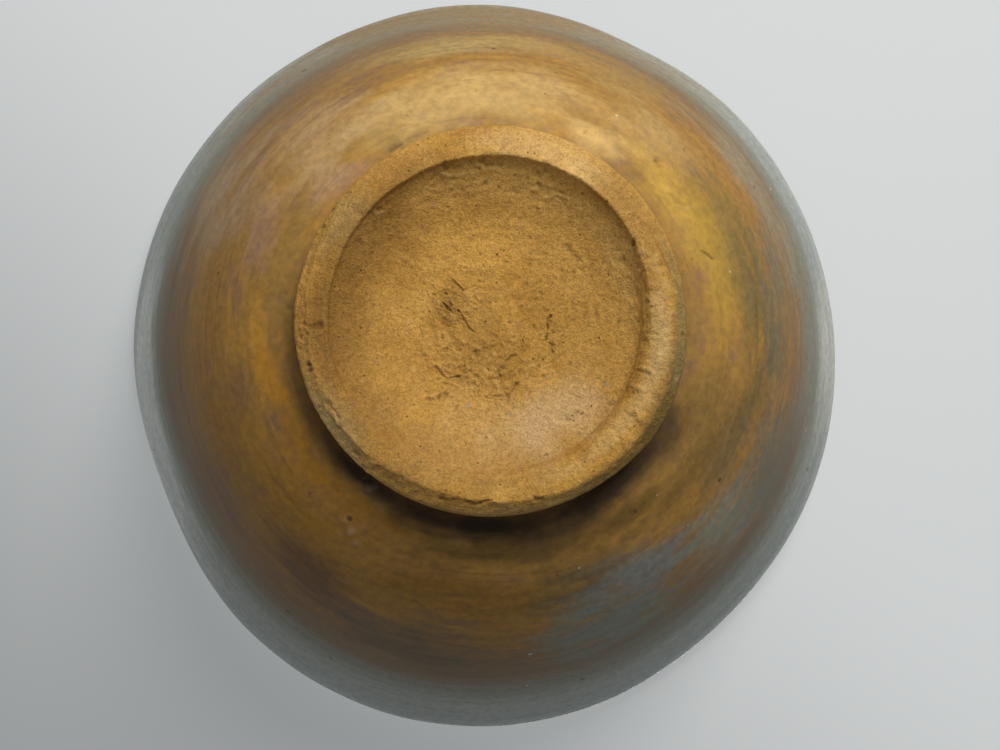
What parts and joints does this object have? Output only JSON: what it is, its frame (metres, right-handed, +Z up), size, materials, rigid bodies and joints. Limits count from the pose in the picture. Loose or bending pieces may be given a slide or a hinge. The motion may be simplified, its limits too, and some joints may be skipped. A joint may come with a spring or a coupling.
{
  "type": "tea bowl",
  "caption": "Hand-thrown stoneware tea bowl: flared round wall, soft lip, bare foot ring with a dished recess, ash-brown glaze outside and in.",
  "frame": {"origin": "centre of the foot ring's resting face, on the surface that the bowl stands on", "axes": "+Z up along the bowl's turning axis, towards the mouth; +Y along the mouth's slightly longer width. The picture shows the bowl turned over, mouth down, with +Y up the picture and +X to its left"},
  "size_m": [0.1402, 0.1442, 0.0679],
  "materials": {
    "bare_clay": "matte, gritty, iron-specked",
    "outer_glaze": "satin, streaked round the wall, ochre to grey-green",
    "inner_glaze": "satin to glossy where it pools"
  },
  "bodies": {
    "root": {"clay_bowl": "bare_clay", "foot_ring": "bare_clay", "outer_glaze": "outer_glaze", "inner_glaze": "inner_glaze"}
  },
  "joints": []
}
